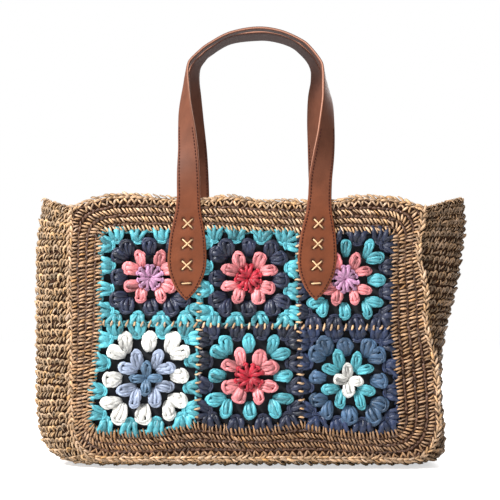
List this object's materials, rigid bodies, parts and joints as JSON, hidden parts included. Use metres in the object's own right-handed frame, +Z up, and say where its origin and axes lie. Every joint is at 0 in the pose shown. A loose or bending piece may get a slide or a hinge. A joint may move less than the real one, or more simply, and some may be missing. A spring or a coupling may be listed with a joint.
{
  "type": "crochet tote handbag",
  "caption": "Crocheted raffia tote handbag with a front of coloured granny squares and two tan leather handles with leaf-shaped ends.",
  "frame": {"origin": "centre of the bounding box's footprint on the floor", "axes": "+Z up, the front with the squares faces -Y, +X to the right as seen from the front"},
  "size_m": [0.4457, 0.1189, 0.4561],
  "materials": {
    "raffia": "matte",
    "yarn_top_left": "matte",
    "yarn_top_middle": "matte",
    "yarn_top_right": "matte",
    "yarn_bottom_left": "matte",
    "yarn_bottom_middle": "matte",
    "yarn_bottom_right": "matte",
    "gusset_raffia": "matte",
    "back_raffia": "matte",
    "lining_cloth": "matte",
    "tan_leather": "satin",
    "rear_tan_leather": "satin"
  },
  "bodies": {
    "root": {"front_border": "raffia", "square_top_left": "yarn_top_left", "square_top_middle": "yarn_top_middle", "square_top_right": "yarn_top_right", "square_bottom_left": "yarn_bottom_left", "square_bottom_middle": "yarn_bottom_middle", "square_bottom_right": "yarn_bottom_right", "gusset": "gusset_raffia", "back_panel": "back_raffia", "lining": "lining_cloth", "front_handle": "tan_leather", "rear_handle": "rear_tan_leather"}
  },
  "joints": []
}
